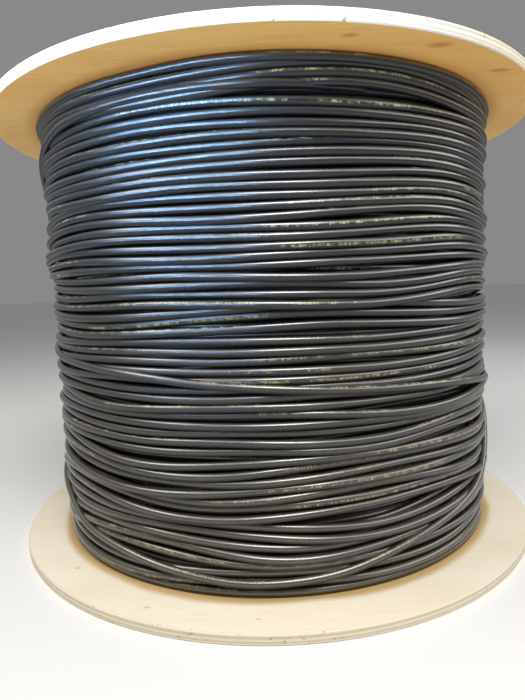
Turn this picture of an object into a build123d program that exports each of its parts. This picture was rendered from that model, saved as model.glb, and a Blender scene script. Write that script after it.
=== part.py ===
from build123d import *
from math import cos, radians, sin
import os

# Wooden cable drum standing on one flange: two plywood discs, a wound tube
# between them, four steel tie bolts that clamp the discs onto the tube, and the
# thin black cable that fills the drum. Origin at the centre of the lower
# flange's outer face, drum axis along +Z. All lengths in millimetres.

# Plywood flanges
flange_diameter = 500.0
flange_thickness = 8.0
flange_edge_easing = 0.8

# Room for cable between the flanges
traverse = 370.0

# Barrel: the tube that the cable is wound on, seated in a groove of each flange
barrel_diameter = 210.0
barrel_wall = 6.0
barrel_groove_depth = 3.0
barrel_groove_clearance = 0.15

# Holes that the drum is handled by
arbor_bore_diameter = 56.0
drive_hole_count = 2
drive_hole_diameter = 26.0
drive_hole_web = 21.0

# Hole in the upper flange, just outside the barrel, for the cable's inner end
start_hole_diameter = 12.0
start_hole_web = 3.0
start_hole_angle = 90.0

# Tie bolts inside the barrel, with flat heads let into the lower flange
tie_bolt_count = 4
tie_bolt_diameter = 8.0
tie_bolt_inset = 13.0
tie_bolt_first_angle = 45.0
bolt_hole_clearance = 0.3

# Flat head of the bolt, and of the sleeve nut at its other end
head_diameter = 22.0
head_thickness = 2.4
head_crown = 0.8
head_recess_depth = 2.8
head_side_clearance = 0.4
hex_socket_across_flats = 5.0
hex_socket_depth = 1.6

# Sleeve nut
sleeve_diameter = 11.0
sleeve_length = 24.0
thread_engagement = 18.0
thread_clearance = 0.1

# Wound cable
cable_diameter = 6.3
cable_layers = 18
layer_nesting = 0.926
winding_end_gap = 0.25
winding_bore_gap = 0.2
groove_share_of_cable = 0.4

# The outer layer isn't even. Its turns lie side by side in bands, and a gap
# between two bands shows the layer below.
# Turns in each band, from the lower flange up:
turns_in_band = (4, 3, 2, 3, 3, 2, 3, 4, 2, 3, 3, 4, 3, 2, 4, 3, 3, 4, 3)
# How far each band stands out, as a share of the cable's radius:
band_rise = (0.55, 0.15, -0.2, 0.1, -0.1, 0.2, 0.0, 0.25, 0.6, 0.1,
             -0.1, 0.15, -0.15, 0.1, -0.05, 0.2, 0.0, 0.15, -0.2)

# Worked out from the sizes above
barrel_radius = barrel_diameter / 2
barrel_inner_radius = barrel_radius - barrel_wall
barrel_bottom = flange_thickness - barrel_groove_depth
barrel_length = traverse + 2 * barrel_groove_depth
overall_height = traverse + 2 * flange_thickness
layer_rise = cable_diameter * layer_nesting
winding_radius = barrel_radius + cable_layers * layer_rise
winding_bottom = flange_thickness + winding_end_gap
winding_length = traverse - 2 * winding_end_gap
drive_hole_circle_radius = arbor_bore_diameter / 2 + drive_hole_web + drive_hole_diameter / 2
tie_bolt_circle_radius = barrel_inner_radius - tie_bolt_inset
start_hole_radius = barrel_radius + start_hole_web + start_hole_diameter / 2


def rod(diameter, bottom, height):
    """Upright round rod on the drum's axis."""
    return Pos(0, 0, bottom) * extrude(Circle(diameter / 2), amount=height)


def tube(outer_diameter, inner_diameter, bottom, height):
    """Upright round tube on the drum's axis."""
    wall = Circle(outer_diameter / 2) - Circle(inner_diameter / 2)
    return Pos(0, 0, bottom) * extrude(wall, amount=height)


def ring_places(count, radius, first_angle=0.0):
    """Places of like features spaced evenly round the drum's axis."""
    angles = [radians(first_angle + turn * 360.0 / count) for turn in range(count)]
    return [Pos(radius * cos(angle), radius * sin(angle), 0) for angle in angles]


def upside_down(shape):
    """The same shape for the drum's upper end."""
    return Pos(0, 0, overall_height) * mirror(shape, about=Plane.XY)


tie_places = ring_places(tie_bolt_count, tie_bolt_circle_radius, tie_bolt_first_angle)
drive_places = ring_places(drive_hole_count, drive_hole_circle_radius)
start_place = ring_places(1, start_hole_radius, start_hole_angle)[0]


def make_flange(shank_diameter):
    """Plywood disc, outer face down, with its holes, head recesses and barrel groove."""
    disc = rod(flange_diameter, 0, flange_thickness)
    disc = chamfer(disc.edges(), flange_edge_easing)

    disc -= rod(arbor_bore_diameter, 0, flange_thickness)
    for place in drive_places:
        disc -= place * rod(drive_hole_diameter, 0, flange_thickness)

    shank_hole = rod(shank_diameter + 2 * bolt_hole_clearance, 0, flange_thickness)
    head_recess = rod(head_diameter + 2 * head_side_clearance, 0, head_recess_depth)
    for place in tie_places:
        disc -= place * (shank_hole + head_recess)

    groove = tube(
        barrel_diameter + 2 * barrel_groove_clearance,
        2 * (barrel_inner_radius - barrel_groove_clearance),
        barrel_bottom,
        barrel_groove_depth,
    )
    return disc - groove


def make_upper_flange():
    """The second disc, turned over, with the hole for the cable's inner end."""
    start_hole = start_place * rod(start_hole_diameter, 0, flange_thickness)
    return upside_down(make_flange(sleeve_diameter) - start_hole)


def make_barrel():
    """Spirally wound board tube, its ends in the grooves of the flanges."""
    return tube(barrel_diameter, 2 * barrel_inner_radius, barrel_bottom, barrel_length)


def make_head():
    """Low flat head with an eased rim and a hexagon socket, seated in its recess."""
    outline = Polyline(
        (0, 0),
        (head_diameter / 2 - head_crown, 0),
        (head_diameter / 2, head_crown),
        (head_diameter / 2, head_thickness),
        (0, head_thickness),
        close=True,
    )
    head = revolve(Plane.XZ * make_face(outline), Axis.Z)
    socket = RegularPolygon(hex_socket_across_flats / 2, 6, major_radius=False)
    head -= extrude(socket, amount=hex_socket_depth)
    return Pos(0, 0, head_recess_depth - head_thickness) * head


def make_tie_bolt():
    """Steel bolt that runs up through the lower flange and the inside of the barrel."""
    sleeve_bottom = overall_height - head_recess_depth - sleeve_length
    shank_top = sleeve_bottom + thread_engagement
    return make_head() + rod(tie_bolt_diameter, head_recess_depth, shank_top - head_recess_depth)


def make_sleeve_nut():
    """Steel sleeve nut, let into the upper flange and screwed onto the bolt."""
    sleeve = tube(
        sleeve_diameter,
        tie_bolt_diameter + 2 * thread_clearance,
        head_recess_depth,
        sleeve_length,
    )
    return upside_down(make_head() + sleeve)


def layer_rings(end, inward):
    """Outline of one end of the winding, from the barrel out: a groove and a ridge for each layer."""
    groove_bottom = end + inward * groove_share_of_cable * cable_diameter
    points = []
    for layer in range(cable_layers):
        inner_radius = barrel_radius + winding_bore_gap + layer * layer_rise
        points.append((inner_radius, groove_bottom))
        points.append((inner_radius + layer_rise / 2, end))
    return points


def outer_turns():
    """Outline of the winding's side, from the bottom up: a groove and a ridge for each turn."""
    turn_pitch = winding_length / sum(turns_in_band)
    turn_bottom = winding_bottom
    points = []
    for turns, rise in zip(turns_in_band, band_rise):
        crest = winding_radius + rise * cable_diameter / 2
        groove_depth = layer_rise
        for _ in range(turns):
            points.append((crest - groove_depth, turn_bottom))
            points.append((crest, turn_bottom + turn_pitch / 2))
            turn_bottom += turn_pitch
            groove_depth = groove_share_of_cable * cable_diameter
    return points


def make_winding():
    """All the layers of cable as one turned solid, whose turns and layers show as ridges."""
    lower_end = layer_rings(winding_bottom, inward=1)
    side = outer_turns()[1:]
    upper_end = layer_rings(winding_bottom + winding_length, inward=-1)
    outline = Polyline(*lower_end, *side, *reversed(upper_end), close=True)
    return revolve(Plane.XZ * make_face(outline), Axis.Z)


pieces = {
    "flange_bottom": make_flange(tie_bolt_diameter),
    "flange_top": make_upper_flange(),
    "barrel": make_barrel(),
    "cable_winding": make_winding(),
}
for number, place in enumerate(tie_places, start=1):
    pieces[f"tie_bolt_{number}"] = place * make_tie_bolt()
    pieces[f"sleeve_nut_{number}"] = place * make_sleeve_nut()

os.makedirs("parts", exist_ok=True)
for name, shape in pieces.items():
    export_step(shape, f"parts/{name}.step")
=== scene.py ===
import math

import bpy
import numpy as np
from mathutils import Matrix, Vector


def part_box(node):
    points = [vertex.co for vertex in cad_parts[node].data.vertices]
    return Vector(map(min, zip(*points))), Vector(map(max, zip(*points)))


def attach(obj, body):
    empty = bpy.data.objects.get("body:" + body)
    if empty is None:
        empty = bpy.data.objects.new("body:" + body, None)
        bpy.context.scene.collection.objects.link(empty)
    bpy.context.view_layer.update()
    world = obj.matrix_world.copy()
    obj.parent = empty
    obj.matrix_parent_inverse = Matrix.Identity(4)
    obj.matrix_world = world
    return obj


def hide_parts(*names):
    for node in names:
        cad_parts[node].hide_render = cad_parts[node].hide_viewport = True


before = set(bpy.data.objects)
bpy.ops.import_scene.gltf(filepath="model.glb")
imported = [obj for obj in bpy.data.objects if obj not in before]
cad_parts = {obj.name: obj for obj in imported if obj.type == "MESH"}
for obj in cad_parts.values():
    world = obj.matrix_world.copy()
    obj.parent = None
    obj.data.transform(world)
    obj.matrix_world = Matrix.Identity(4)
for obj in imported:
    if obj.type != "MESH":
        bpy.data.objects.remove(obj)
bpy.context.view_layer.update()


# Plywood flanges
# Two discs cut from thin peeled plywood, both the same wood. The lower one's face is painted pale,
# as painted light where it lies face up to the lamps, and the upper one's underside is painted
# tan, as its warm painted shade. Their rims show the bare plies, with dents.

class Socket:
    """An output socket of a material's node. A sum written with sockets adds Math nodes."""

    def __init__(self, tree, output):
        self.tree = tree
        self.output = output

    def node(self, kind, settings, inputs, output=0):
        """Adds a node, sets it, then fills or links its sockets, and gives one output."""
        made = self.tree.nodes.new(kind)
        for name, value in settings.items():
            if name == "stops":
                ramp = made.color_ramp
                while len(ramp.elements) < len(value):
                    ramp.elements.new(1.0)
                for element, (share, colour) in zip(ramp.elements, value):
                    element.position = share
                    element.color = colour
            else:
                setattr(made, name, value)
        for name, value in inputs.items():
            if isinstance(value, Socket):
                self.tree.links.new(value.output, made.inputs[name])
            else:
                made.inputs[name].default_value = value
        return Socket(self.tree, made.outputs[output])

    def maths(self, operation, *others):
        values = dict(enumerate((self, *others)))
        return self.node("ShaderNodeMath", {"operation": operation}, values)

    def __add__(self, other):
        return self.maths("ADD", other)

    __radd__ = __add__

    def __mul__(self, other):
        return self.maths("MULTIPLY", other)

    __rmul__ = __mul__

    def __sub__(self, other):
        return self.maths("SUBTRACT", other)

    def __rsub__(self, other):
        return self * -1.0 + other

    def between(self, low, high):
        """0 below low and 1 above high, with a soft step between them."""
        settings = {"interpolation_type": "SMOOTHSTEP"}
        limits = {"Value": self, "From Min": low, "From Max": high}
        return self.node("ShaderNodeMapRange", settings, limits)

    def stretched(self, scale):
        """The same coordinates, scaled along each axis."""
        return self.node("ShaderNodeMapping", {}, {"Vector": self, "Scale": scale})

    def noise(self, scale, detail, roughness):
        values = {"Vector": self, "Scale": scale, "Detail": detail, "Roughness": roughness}
        return self.node("ShaderNodeTexNoise", {}, values)

    def axes(self):
        """The three parts of a vector."""
        split = self.node("ShaderNodeSeparateXYZ", {}, {"Vector": self}).output.node
        return [Socket(self.tree, part) for part in split.outputs]

    def colours(self, *stops):
        """A colour for each value from 0 to 1, from stops of a place and a colour."""
        return self.node("ShaderNodeValToRGB", {"stops": stops}, {"Fac": self})

    def tint(self, colour, share):
        """This colour, mixed with another by a share."""
        mix = {0: share, 6: self, 7: colour}
        return self.node("ShaderNodeMix", {"data_type": "RGBA"}, mix, output=2)

    def bump(self, strength, distance):
        relief = {"Height": self, "Strength": strength, "Distance": distance}
        return self.node("ShaderNodeBump", {}, relief)

    def into(self, socket):
        self.tree.links.new(self.output, socket)


def paint(red, green, blue):
    """A colour seen on screen, of 0 to 255, as the light values that a shader takes."""
    shares = [value / 255 for value in (red, green, blue)]
    light = [s / 12.92 if s <= 0.04045 else ((s + 0.055) / 1.055) ** 2.4 for s in shares]
    return (*light, 1.0)


def new_finish(name):
    """An empty finish: the material, its shader's sockets and the object coordinates."""
    material = bpy.data.materials.new(name)
    material.use_nodes = True
    tree = material.node_tree
    place = Socket(tree, tree.nodes.new("ShaderNodeTexCoord").outputs["Object"])
    return material, tree.nodes["Principled BSDF"].inputs, place


def put_on(node, material):
    """Gives a CAD node its finish."""
    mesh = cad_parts[node].data
    mesh.materials.clear()
    mesh.materials.append(material)


ply = 0.0016
rim_starts, rim_full = 0.2487, 0.2492
# Radius where the painted shade beside the winding starts to fade, and how far its edge wanders.
painted_shade_fades, painted_shade_wander = 0.212, 0.01
inner_side, outer_side = 0.003, 0.005  # depths below the face that the cable lies against


def plywood(name, pale, dark, deep, darker_tint, painted_shade_ends, bottom, inner_face, knots):
    """Peeled veneer with figure, pores and knots. The inner face carries a painted shade beside
    the winding, the outer face is weathered, and the rim shows the pale bare plies."""
    material, shader, place = new_finish(name)
    x, y, z = place.axes()
    radius = (x * x + y * y).maths("SQRT")
    figure = place.stretched((1.6, 8.0, 1.0)).noise(2.2, 3.0, 0.55)
    grain = place.stretched((5.0, 85.0, 1.0)).noise(4.0, 5.0, 0.65)
    pores = place.stretched((45.0, 1300.0, 1.0)).noise(1.0, 2.0, 0.5)
    patches = place.noise(9.0, 4.0, 0.6)
    shade = figure * 0.5 + grain * 0.3 + patches * 0.2
    colour = shade.colours((0.36, paint(*pale)), (0.64, paint(*dark)))
    colour = colour.tint(paint(*deep), pores.between(0.60, 0.72) * 0.35)

    knot_marks = []
    for knot_x, knot_y, size in knots:
        along, across = (x - knot_x) * 0.5, y - knot_y
        away = (along * along + across * across).maths("SQRT") + (grain - 0.5) * size
        knot_marks.append(1.0 - away.between(size * 0.25, size))
    knot_mark = knot_marks[0]
    for mark in knot_marks[1:]:
        knot_mark = knot_mark.maths("MAXIMUM", mark)
    colour = colour.tint(paint(*deep), knot_mark * 0.6)

    inward = 1.0 - (z - inner_face).maths("ABSOLUTE").between(inner_side, outer_side)
    # Painted shade: the inner face turns darker and amber in a ring beside the winding, where the
    # winding's shadow falls.
    wandering = radius + (patches - 0.5) * painted_shade_wander
    painted_shade_near_winding = 1.0 - wandering.between(painted_shade_fades, painted_shade_ends)
    colour = colour.tint(paint(*darker_tint), painted_shade_near_winding * inward * 0.8)
    weathered = shade.colours((0.38, paint(206, 176, 130)), (0.62, paint(168, 128, 80)))
    colour = colour.tint(weathered, (1.0 - inward) * 0.85)

    plies = ((z - bottom) * (math.pi / ply)).maths("SINE").between(-0.25, 0.25)
    end_grain = place.stretched((260.0, 260.0, 1400.0)).noise(1.0, 3.0, 0.6)
    rim_colour = (plies * 0.55 + end_grain * 0.45).colours(
        (0.2, paint(208, 193, 164)), (0.8, paint(230, 220, 198))
    )
    dents = place.stretched((1.0, 1.0, 2.0)).noise(130.0, 3.0, 0.6).between(0.64, 0.70)
    rim_colour = rim_colour.tint(paint(150, 118, 74), dents * 0.7)
    on_rim = radius.between(rim_starts, rim_full)
    colour.tint(rim_colour, on_rim).into(shader["Base Color"])
    (0.52 + shade * 0.25).into(shader["Roughness"])
    relief = grain * 0.5 + pores * 0.5 - dents * on_rim * 3.0 - plies * on_rim * 0.4
    relief.bump(0.3, 0.0004).into(shader["Normal"])
    return material


upper_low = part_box("flange_top")[0]
lower_low, lower_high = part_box("flange_bottom")
# Upper flange: its figure tones are painted tan, as painted warm shade under the flange.
put_on("flange_top", plywood(
    "plywood_upper", pale=(252, 210, 130), dark=(236, 180, 98), deep=(172, 114, 52),
    darker_tint=(212, 150, 74), painted_shade_ends=0.226, bottom=upper_low.z, inner_face=upper_low.z,
    knots=[(0.116, -0.208, 0.006), (0.055, -0.227, 0.004), (0.173, -0.161, 0.005),
           (-0.162, -0.119, 0.004), (-0.05, 0.16, 0.009), (0.09, 0.03, 0.006)],
))
# Lower flange: its figure tones are painted pale, as painted light where the lamps fall on its
# face.
put_on("flange_bottom", plywood(
    "plywood_lower", pale=(243, 235, 216), dark=(234, 220, 192), deep=(198, 168, 120),
    darker_tint=(188, 148, 66), painted_shade_ends=0.220, bottom=lower_low.z, inner_face=lower_high.z,
    knots=[(-0.164, -0.157, 0.002), (-0.094, -0.215, 0.002), (-0.015, -0.233, 0.0015),
           (0.12, 0.11, 0.007), (-0.14, 0.05, 0.005)],
))


# Barrel
# A tube wound from strips of brown board, glued one over the next, with the strips'
# edges as a spiral seam. Its ends sit in the grooves of the flanges.

def board_finish():
    strip_height = 0.14
    material, shader, place = new_finish("barrel_board")
    x, y, z = place.axes()
    around = y.maths("ARCTAN2", x) * (1.0 / (2.0 * math.pi))
    strip = (z * (1.0 / strip_height) + around).maths("FRACT")
    seam = 1.0 - strip.between(0.0, 0.012)
    fibres = place.stretched((1.0, 1.0, 2.5)).noise(260.0, 4.0, 0.65)
    blotches = place.noise(18.0, 3.0, 0.5)
    colour = (fibres * 0.6 + blotches * 0.4).colours(
        (0.35, paint(122, 92, 60)), (0.65, paint(158, 124, 84))
    )
    colour.tint(paint(78, 56, 36), seam * 0.8).into(shader["Base Color"])
    shader["Roughness"].default_value = 0.8
    (fibres * 0.5 - seam).bump(0.3, 0.0004).into(shader["Normal"])
    return material


put_on("barrel", board_finish())


# Tie bolts and sleeve nuts
# Four zinc-plated steel bolts clamp the flanges onto the barrel. Their flat heads and the
# heads of the sleeve nuts lie in recesses, with turning marks round each one.

def zinc_finish(name, centre_x, centre_y):
    turning_marks = 9000.0
    material, shader, place = new_finish(name)
    x, y, _ = place.axes()
    from_x, from_y = x - centre_x, y - centre_y
    away = (from_x * from_x + from_y * from_y).maths("SQRT")
    turning = (away * turning_marks).maths("SINE") * 0.5 + 0.5
    spangle = place.noise(420.0, 2.0, 0.5)
    # Brownish stains on the plating, duller than the rest.
    darker_tint = place.noise(70.0, 4.0, 0.6).between(0.55, 0.75)
    colour = spangle.colours((0.3, paint(168, 170, 172)), (0.7, paint(206, 208, 210)))
    colour.tint(paint(128, 118, 100), darker_tint * 0.5).into(shader["Base Color"])
    (0.28 + spangle * 0.15 + darker_tint * 0.2).into(shader["Roughness"])
    shader["Metallic"].default_value = 1.0
    (turning * 0.5 + spangle * 0.5).bump(0.15, 0.0001).into(shader["Normal"])
    return material


for number in range(1, 5):
    low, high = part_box(f"tie_bolt_{number}")
    centre = (low + high) / 2
    zinc = zinc_finish(f"zinc_{number}", centre.x, centre.y)
    put_on(f"tie_bolt_{number}", zinc)
    put_on(f"sleeve_nut_{number}", zinc)


# Cable under the last two layers
# All the inner layers of the black cable, wound tight on the barrel. Only their turns show,
# as dark ridges deep in the gaps, and the layers' edges through the holes at the ends.

cable = 0.0063
layer_rise = cable * 0.926
layer_count = 18
winding_low, winding_high = (corner.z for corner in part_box("cable_winding"))
winding_bore, winding_radius = 0.1052, 0.21


def sheath_finish():
    """Black sheath with dust along it, a painted warm reflection low down, a painted sheen on the
    upper half of each turn, and a row of small pale marks.
    """
    material, shader, place = new_finish("cable_sheath")
    height = place.axes()[2]
    run = place.node("ShaderNodeUVMap", {"uv_map": "UVMap"}, {})
    around = run.axes()[1]
    upward = place.node("ShaderNodeNewGeometry", {}, {}, output="Normal").axes()[2]
    streaks = run.stretched((5.0, 260.0, 1.0)).noise(1.0, 4.0, 0.6)
    patches = place.noise(22.0, 4.0, 0.6)
    fine = place.noise(1400.0, 3.0, 0.7)
    settled = upward.between(-0.2, 0.9)
    # Painted warm reflection of the floor and lower flange: lighter and warmer towards the bottom.
    # The streaks, patches, settled tops and fine noise are dust.
    warm_reflection_low_down = 1.0 - height.between(0.02, 0.26)
    dust_and_warm_reflection = streaks * 0.35 + patches * 0.35 + settled * 0.10 + warm_reflection_low_down * 0.22 + fine * 0.1
    colour = dust_and_warm_reflection.colours(
        (0.32, paint(21, 21, 22)), (0.55, paint(38, 35, 29)), (0.85, paint(80, 72, 56))
    )
    specks = fine.between(0.66, 0.74)
    colour = colour.tint(paint(132, 126, 110), specks * 0.35)

    def along_run(scale, across=0.0):
        """Noise that varies along the cable, so many times a metre."""
        return run.stretched((scale, across, 0.0)).noise(1.0, 1.0, 0.5)

    row_middle, row_half, row_sway = 0.0066, 0.0012, 0.016
    sway = (along_run(0.9) - 0.5) * row_sway
    off_row = (around - sway - row_middle).maths("ABSOLUTE")
    in_row = 1.0 - off_row.between(row_half * 0.5, row_half)
    strokes = along_run(900.0, across=300.0).between(0.42, 0.52)
    groups = along_run(45.0).between(0.40, 0.43)
    lengths = along_run(3.0).between(0.53, 0.55)
    worn = place.noise(160.0, 3.0, 0.6).between(0.38, 0.62)
    marks = in_row * strokes * groups * lengths * worn
    colour.tint(paint(172, 164, 108), marks * 0.8).into(shader["Base Color"])

    (0.23 + dust_and_warm_reflection * 0.20 + marks * 0.1).into(shader["Roughness"])
    # Painted sheen: a coat on the upper half of each turn makes it shine more and leaves the lower
    # half darker.
    sheen_on_upper_half = upward.between(-0.35, 0.30)
    (sheen_on_upper_half * (1.0 - marks * 0.5)).into(shader["Coat Weight"])
    shader["Coat IOR"].default_value = 2.0
    shader["Coat Roughness"].default_value = 0.27
    (fine * 0.6 + streaks * 0.4).bump(0.10, 0.0003).into(shader["Normal"])
    return material


sheath = sheath_finish()


def in_place_of_winding(piece):
    """Sheath, body and node of a piece that stands for part of the solid winding."""
    piece.data.materials.append(sheath)
    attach(piece, "root")
    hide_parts("cable_winding")


def ridges(start, end, count, height):
    """A row of round ridges between two points of an outline, as further points of it."""
    points = []
    for number in range(count):
        for share in (0.0, 0.25, 0.5, 0.75):
            way = (number + share) / count
            swell = height * math.sin(math.pi * share)
            points.append([a + (b - a) * way for a, b in zip(start, end)] + [swell])
    return points


core_radius = winding_radius - 2 * layer_rise
core_layers, core_turns = layer_count - 2, 58
ridge = cable * 0.4
inside_low, inside_high = (winding_bore, winding_low), (winding_bore, winding_high)
outside_low, outside_high = (core_radius, winding_low), (core_radius, winding_high)
outline = [(r, z - swell + ridge)
           for r, z, swell in ridges(inside_low, outside_low, core_layers, ridge)]
outline += [(r - ridge + swell, z)
            for r, z, swell in ridges(outside_low, outside_high, core_turns, ridge)]
outline += [(r, z + swell - ridge)
            for r, z, swell in ridges(outside_high, inside_high, core_layers, ridge)]
outline_mesh = bpy.data.meshes.new("cable_core")
edges = [(number, (number + 1) % len(outline)) for number in range(len(outline))]
outline_mesh.from_pydata([(r, 0.0, z) for r, z in outline], edges, [])
core = bpy.data.objects.new("cable_core", outline_mesh)
bpy.context.collection.objects.link(core)
bpy.ops.object.select_all(action="DESELECT")
core.select_set(True)
bpy.context.view_layer.objects.active = core
bpy.ops.object.mode_set(mode="EDIT")
bpy.ops.mesh.select_all(action="SELECT")
bpy.ops.mesh.spin(steps=96, angle=2 * math.pi, center=(0, 0, 0), axis=(0, 0, 1))
bpy.ops.mesh.select_all(action="SELECT")
bpy.ops.mesh.remove_doubles(threshold=0.00001)
bpy.ops.mesh.normals_make_consistent(inside=False)
bpy.ops.object.mode_set(mode="OBJECT")
bpy.ops.object.shade_smooth_by_angle(angle=math.radians(60))
core.data.uv_layers.new(name="UVMap")
in_place_of_winding(core)


# Last two layers of cable
# The same cable, wound less evenly near the outside. Each turn lies beside the one before
# and rests on the layer below, or drops into a gap there, and some ride over a neighbour.

steps = 240
back = math.pi / 2
angles = back + np.arange(steps) * (2 * math.pi / steps)
lowest, highest = winding_low + cable / 2, winding_high - cable / 2


def smooth_step(share):
    share = np.clip(share, 0.0, 1.0)
    return share * share * (3.0 - 2.0 * share)


def rolling(rows, waves, seed):
    """Rows of soft random values round the drum, mostly from -1 to 1, that close on themselves."""
    draw = np.random.default_rng(seed)
    values = np.zeros((rows, steps))
    for wave in range(1, waves + 1):
        size = draw.normal(0.0, 0.75 / math.sqrt(waves), (rows, 1))
        start = draw.uniform(0.0, 2 * math.pi, (rows, 1))
        values += size * math.sqrt(2) * np.cos(wave * angles + start)
    return values


def mend_seams(values, reach=24):
    """Takes out the small steps where one turn's row ends and the next one's begins."""
    fade = np.linspace(0.5, 0.0, reach)
    jump = (values[1:, 0] - values[:-1, -1])[:, None]
    values[1:, :reach] -= jump * fade
    values[:-1, -reach:] += jump * fade[::-1]
    return values


def wound(bands, band_sway, own_sway, seed):
    """Heights of a layer's turns from flange to flange. The turns of a band sway together,
    those beside a flange lie calm, and each turn climbs to the next at the back."""
    climb_share, calm_turns = 0.11, 3
    turns = sum(bands)
    pitch = (highest - lowest) / (turns - 1)
    number = np.arange(turns)[:, None]
    share = np.arange(steps)[None, :] / steps
    leaving = smooth_step((share - (1 - climb_share)) / climb_share)
    climb = 0.5 * leaving - 0.5 * (1 - smooth_step(share / climb_share))
    sway = band_sway * np.repeat(rolling(len(bands), 5, seed), bands, axis=0)
    sway += own_sway * rolling(turns, 7, seed + 1)
    from_flange = np.minimum(number, turns - 1 - number)
    calm = np.minimum(1.0, from_flange / calm_turns)
    heights = lowest + pitch * (number + climb) + cable * sway * calm
    return np.clip(mend_seams(heights), lowest, highest)


def eased(values, reach):
    """One turn's values, evened out over so many steps to each side and on past its ends."""
    weights = np.hanning(2 * reach + 3)[1:-1]
    gain = values[-1] - values[0]
    longer = np.concatenate([values[-reach:] - gain, values, values[:reach] + gain])
    return np.convolve(longer, weights / weights.sum(), "valid")


def most_nearby(values, shifts):
    """The largest value at each step or so many steps to each side."""
    return np.max([np.roll(values, shift) for shift in shifts], axis=0)


def contact(height, laid, floor_radius, touching):
    """How far out a turn at these heights rests on the turns laid already. Turns touch
    when their heights differ by less than this share of the cable."""
    radius = np.full(len(height), floor_radius)
    for other_height, other_radius in laid:
        apart = np.abs(height - other_height)
        resting = other_radius + np.sqrt(np.maximum(cable ** 2 - apart ** 2, 0.0))
        radius = np.where(apart < cable * touching, np.maximum(radius, resting), radius)
    return radius


pressed_in = 0.6  # what is left of a turn's rise over the layer, under the pull of winding


def settle(heights, laid, floor_radius, centre, furthest):
    """Lays turns one by one. A turn that would ride too far out slips up beside the last."""
    tries, slip_step, touching = 12, cable * 0.08, 0.97
    radii = np.zeros_like(heights)
    for turn in range(len(heights)):
        height = heights[turn]
        for _ in range(tries):
            riding = contact(height, laid, floor_radius, touching) > furthest
            if not riding.any():
                break
            slip = most_nearby(riding, (-6, -3, 0, 3, 6))
            height = np.minimum(height + eased(slip * slip_step, 12), highest)
        height = np.clip(eased(height, 7), lowest, highest)
        radius = contact(height, laid, floor_radius, touching)
        radius = eased(most_nearby(radius, (-5, -3, 0, 3, 5)), 9)
        radius = np.where(radius > centre, centre + (radius - centre) * pressed_in, radius)
        heights[turn], radii[turn] = height, radius
        laid.append((height, radius))
    return mend_seams(heights), mend_seams(radii)


def tucked(radii, reach=16):
    """The same run, with both ends led in under the turns beside them."""
    fade = smooth_step(np.linspace(1.0, 0.0, reach)) * cable * 0.9
    radii = radii.copy()
    radii[:reach] -= fade
    radii[-reach:] -= fade[::-1]
    return radii


def cable_piece(name, heights, radii, around, roundness):
    """Round cable along a run of heights and radii, with its UV map in metres."""
    curve = bpy.data.curves.new(name, "CURVE")
    curve.dimensions = "3D"
    curve.bevel_depth = cable / 2
    curve.bevel_resolution = roundness
    curve.use_fill_caps = True
    curve.twist_mode = "Z_UP"
    points = np.column_stack([radii * np.cos(around), radii * np.sin(around), heights])
    spline = curve.splines.new("POLY")
    spline.points.add(len(points) - 1)
    spline.points.foreach_set("co", np.column_stack([points, np.ones(len(points))]).ravel())
    piece = bpy.data.objects.new(name, curve)
    bpy.context.collection.objects.link(piece)
    bpy.ops.object.select_all(action="DESELECT")
    piece.select_set(True)
    bpy.context.view_layer.objects.active = piece
    bpy.ops.object.convert(target="MESH")
    bpy.ops.object.shade_smooth()
    layer = piece.data.uv_layers["UVMap"].data
    mapped = np.zeros(2 * len(layer))
    layer.foreach_get("uv", mapped)
    length = np.linalg.norm(np.diff(points, axis=0), axis=1).sum()
    mapped = mapped.reshape(-1, 2) * (length, math.pi * cable)
    layer.foreach_set("uv", mapped.ravel())
    in_place_of_winding(piece)


laid = []
below_centre = winding_radius - cable / 2 - layer_rise
below_furthest = below_centre + 0.002
below_bands = (4, 3, 5, 3, 4, 3, 5, 4, 3, 4, 3, 4, 3)
below_heights, below_radii = settle(
    wound(below_bands, band_sway=0.55, own_sway=0.12, seed=21),
    laid, below_centre, below_centre, below_furthest,
)
every_other = slice(None, None, 2)
cable_piece(
    "cable_layer_below",
    below_heights.ravel()[every_other],
    tucked(below_radii.ravel()[every_other]),
    np.tile(angles[every_other], sum(below_bands)),
    roundness=2,
)

outer_centre = winding_radius - cable / 2
outer_floor, outer_furthest = below_centre + 0.0006, outer_centre + 0.0045
outer_bands = (3, 3, 2, 3, 4, 3, 2, 3, 3, 2, 3, 4, 2, 3, 3, 4, 2, 3, 4)
outer_heights, outer_radii = settle(
    wound(outer_bands, band_sway=0.6, own_sway=0.27, seed=34),
    laid, outer_floor, outer_centre, outer_furthest,
)
outer_turns = sum(outer_bands)
middle_step = outer_turns // 2 * steps
runs = {
    "cable_outer_lower": slice(0, middle_step + 1),
    "cable_outer_upper": slice(middle_step, None),
}
for name, run in runs.items():
    cable_piece(
        name,
        outer_heights.ravel()[run],
        tucked(outer_radii.ravel())[run],
        np.tile(angles, outer_turns)[run],
        roundness=4,
    )


# Last loose turns
# The end of the cable, wound by hand over the rest. One turn slants across the middle and
# one sags at the bottom, and both stand off at the sides, with their ends pushed under.

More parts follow.
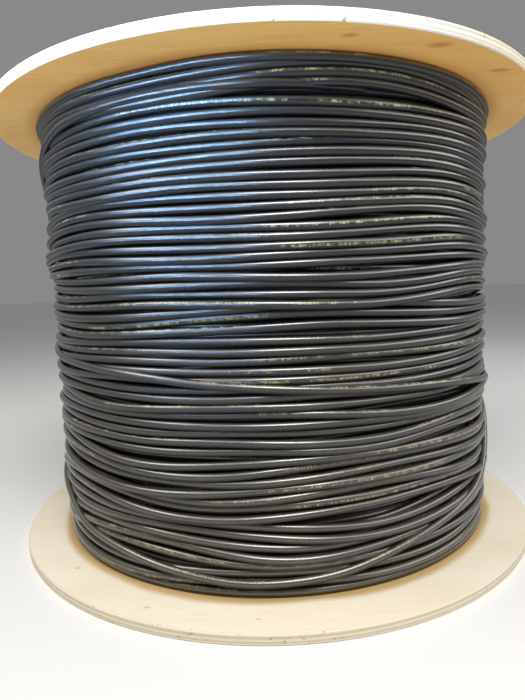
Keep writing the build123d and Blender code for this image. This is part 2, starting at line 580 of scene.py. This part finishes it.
def lay_over(name, route):
    """One loose run over the winding, through points of degrees from the right, height in
    millimetres and how much further out it lies than it would, in millimetres."""
    degrees_apart, reach, touching = 1.5, 7, 0.9
    kernel = np.hanning(2 * reach + 1) / np.hanning(2 * reach + 1).sum()

    def softened(values):
        return np.convolve(np.pad(values, reach, mode="edge"), kernel, "valid")

    degrees, height, extra = np.array(route).T
    count = int((degrees[-1] - degrees[0]) / degrees_apart) + 1
    at = np.linspace(degrees[0], degrees[-1], count)
    height = softened(np.interp(at, degrees, height)) / 1000
    extra = softened(np.interp(at, degrees, extra)) / 1000
    column = np.round((np.radians(at) - back) / (2 * math.pi) * steps).astype(int) % steps
    under = [(other_height[column], other_radius[column]) for other_height, other_radius in laid]
    radius = contact(height, under, outer_centre, touching)
    radius = softened(most_nearby(radius, (-3, 0, 3)))
    radius = outer_centre + (radius - outer_centre) * pressed_in + extra
    cable_piece(name, height, tucked(radius), np.radians(at), roundness=4)


lay_over("cable_turn_middle", [
    (-215, 205, -3), (-185, 192, 0), (-158, 181, -1.5), (-145, 177, -0.5), (-119, 170, 0),
    (-102, 163.5, 0), (-79, 157, 0), (-53, 152, 0), (-38, 147, 0), (-27, 142, -1.5),
    (-10, 136, -0.5), (20, 130, 0), (50, 124, -3),
])
lay_over("cable_turn_last", [
    (-232, 98, -3), (-200, 84, 0), (-170, 66, 0), (-151, 53, 0), (-143, 40, 0), (-133, 34, 0),
    (-124, 30, 0), (-111.7, 24.6, 0), (-98, 19, 0), (-86, 20.5, 0), (-76.5, 23.7, 0),
    (-61, 37, 0), (-45, 49, 0), (-34, 57, 0), (-26, 74, -1), (-18, 98, -1), (-4, 122, 0),
    (25, 141, 0), (60, 150, -3),
])
lay_over("cable_turn_upper", [
    (-190, 306, -3), (-178, 312, 0), (-168, 324, -1), (-159, 341, -1), (-150, 351, -0.5),
    (-138, 357, 0), (-115, 358.5, 0), (-85, 359, -1), (-70, 359, -3),
])


# Floor, light and camera
# A plain pale floor under the drum, broad soft lamps, and the viewpoint of the photograph.

bpy.ops.object.select_all(action="DESELECT")
bpy.ops.mesh.primitive_plane_add(size=40.0, location=(0, 0, lower_low.z))
floor = bpy.context.object
floor.name = "floor"
floor_finish, floor_shader, _ = new_finish("floor")
floor_shader["Base Color"].default_value = (0.85, 0.85, 0.84, 1.0)
floor.data.materials.append(floor_finish)

world = bpy.data.worlds.new("world")
world.use_nodes = True
sky = world.node_tree.nodes["Background"].inputs
sky["Color"].default_value = (1.0, 1.0, 1.0, 1.0)
sky["Strength"].default_value = 0.25
bpy.context.scene.world = world


def soft_lamp(name, place, aim, width, height, power, colour, spread=180.0):
    """A flat lamp that faces a point of the drum."""
    light = bpy.data.lights.new(name, "AREA")
    light.shape = "RECTANGLE"
    light.size, light.size_y = width, height
    light.energy = power
    light.color = colour
    light.spread = math.radians(spread)
    lamp = bpy.data.objects.new(name, light)
    lamp.location = place
    x, y, z = (there - here for there, here in zip(place, aim))
    lamp.rotation_euler = (math.atan2(math.hypot(x, y), z), 0.0, math.atan2(y, x) + math.pi / 2)
    bpy.context.collection.objects.link(lamp)


middle = (0.0, 0.0, 0.19)
white, warm_white, window_blue = (1.0, 0.99, 0.97), (1.0, 0.985, 0.95), (0.30, 0.56, 1.0)
soft_lamp("lamp_key", (0.12, -0.85, 1.40), middle, 0.6, 0.45, 12.0, white)
soft_lamp("lamp_row", (0.10, -0.95, 1.40), middle, 2.0, 0.36, 6.5, white)
soft_lamp("lamp_left", (-0.88, -0.28, 1.25), middle, 0.6, 0.5, 6.5, warm_white)
soft_lamp("lamp_right", (1.18, -0.30, 0.85), middle, 1.6, 0.5, 6.0, white)

# Cool daylight from a window's panes, on the upper left of the winding only. Each pane has
# a bearing and a slope in degrees, and a power.
lit_by_window = (-0.09, -0.17, 0.48)
window_away, pane_size, pane_spread = 1.2, 0.35, 18.0
for number, (bearing, slope, power) in enumerate([
    (-14, 28, 0.14), (-32, 28, 0.20), (-50, 28, 0.20), (-68, 28, 0.12),
    (-14, 2, 0.40), (-32, 2, 0.60), (-50, 2, 0.60), (-68, 2, 0.25),
]):
    across, rise = (window_away * part(math.radians(slope)) for part in (math.cos, math.sin))
    side, front = (across * part(math.radians(bearing)) for part in (math.sin, math.cos))
    place = (lit_by_window[0] + side, lit_by_window[1] - front, lit_by_window[2] + rise)
    soft_lamp(f"lamp_window_{number}", place, lit_by_window, pane_size, pane_size, power,
              window_blue, pane_spread)

focal_pixels, frame_height = 539.0, 700.0
camera_data = bpy.data.cameras.new("camera")
camera_data.sensor_width = 36.0
camera_data.lens = camera_data.sensor_width * focal_pixels / frame_height
camera = bpy.data.objects.new("camera", camera_data)
bpy.context.collection.objects.link(camera)
camera.location = (0.0, -0.572, 0.2288)
yaw, pitch, roll = -0.0143, 0.1143, -0.0403
forward = np.array([
    math.sin(yaw) * math.cos(pitch), math.cos(yaw) * math.cos(pitch), -math.sin(pitch)
])
level = np.cross(forward, (0, 0, 1))
level /= np.linalg.norm(level)
upright = np.cross(level, forward)
right = math.cos(roll) * level + math.sin(roll) * upright
up = math.cos(roll) * upright - math.sin(roll) * level
camera.rotation_euler = Matrix(np.column_stack([right, up, -forward]).tolist()).to_euler()
bpy.context.scene.camera = camera
bpy.context.scene.view_settings.view_transform = "Standard"
